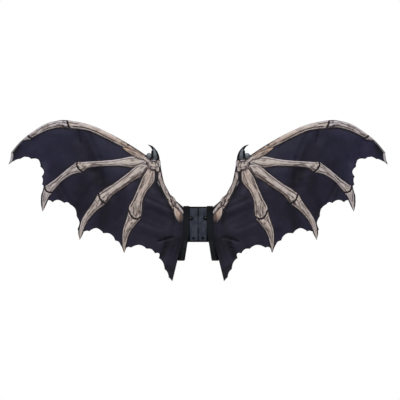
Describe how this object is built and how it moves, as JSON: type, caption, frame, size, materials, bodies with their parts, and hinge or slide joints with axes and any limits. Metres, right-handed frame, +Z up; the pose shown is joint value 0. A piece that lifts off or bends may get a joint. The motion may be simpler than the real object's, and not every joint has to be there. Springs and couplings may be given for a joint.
{
  "type": "costume skeleton wings",
  "caption": "Bat-style costume wings of black cloth printed with finger bones, on bent wires clamped in a back plate, with a claw at each wrist and elastic arm loops.",
  "frame": {"origin": "middle of the plate's face that rests on the wearer's back", "axes": "+X across the back towards the wing shown on the right, +Y away from the wearer, +Z up"},
  "size_m": [1.1, 0.0715, 0.4648],
  "materials": {
    "cloth": "matte",
    "bone_print": "matte",
    "claw": "satin",
    "wire": "satin",
    "strap": "matte",
    "plate": "satin",
    "clamp": "matte",
    "screw": "satin"
  },
  "bodies": {
    "root": {"left_membrane": "cloth", "right_membrane": "cloth", "left_bone_print": "bone_print", "right_bone_print": "bone_print", "left_thumb_claw": "claw", "right_thumb_claw": "claw", "left_frame_wire": "wire", "right_frame_wire": "wire", "left_strap": "strap", "right_strap": "strap", "back_plate": "plate", "clamp_plate": "clamp", "upper_left_screw": "screw", "upper_right_screw": "screw", "lower_left_screw": "screw", "lower_right_screw": "screw"}
  },
  "joints": []
}
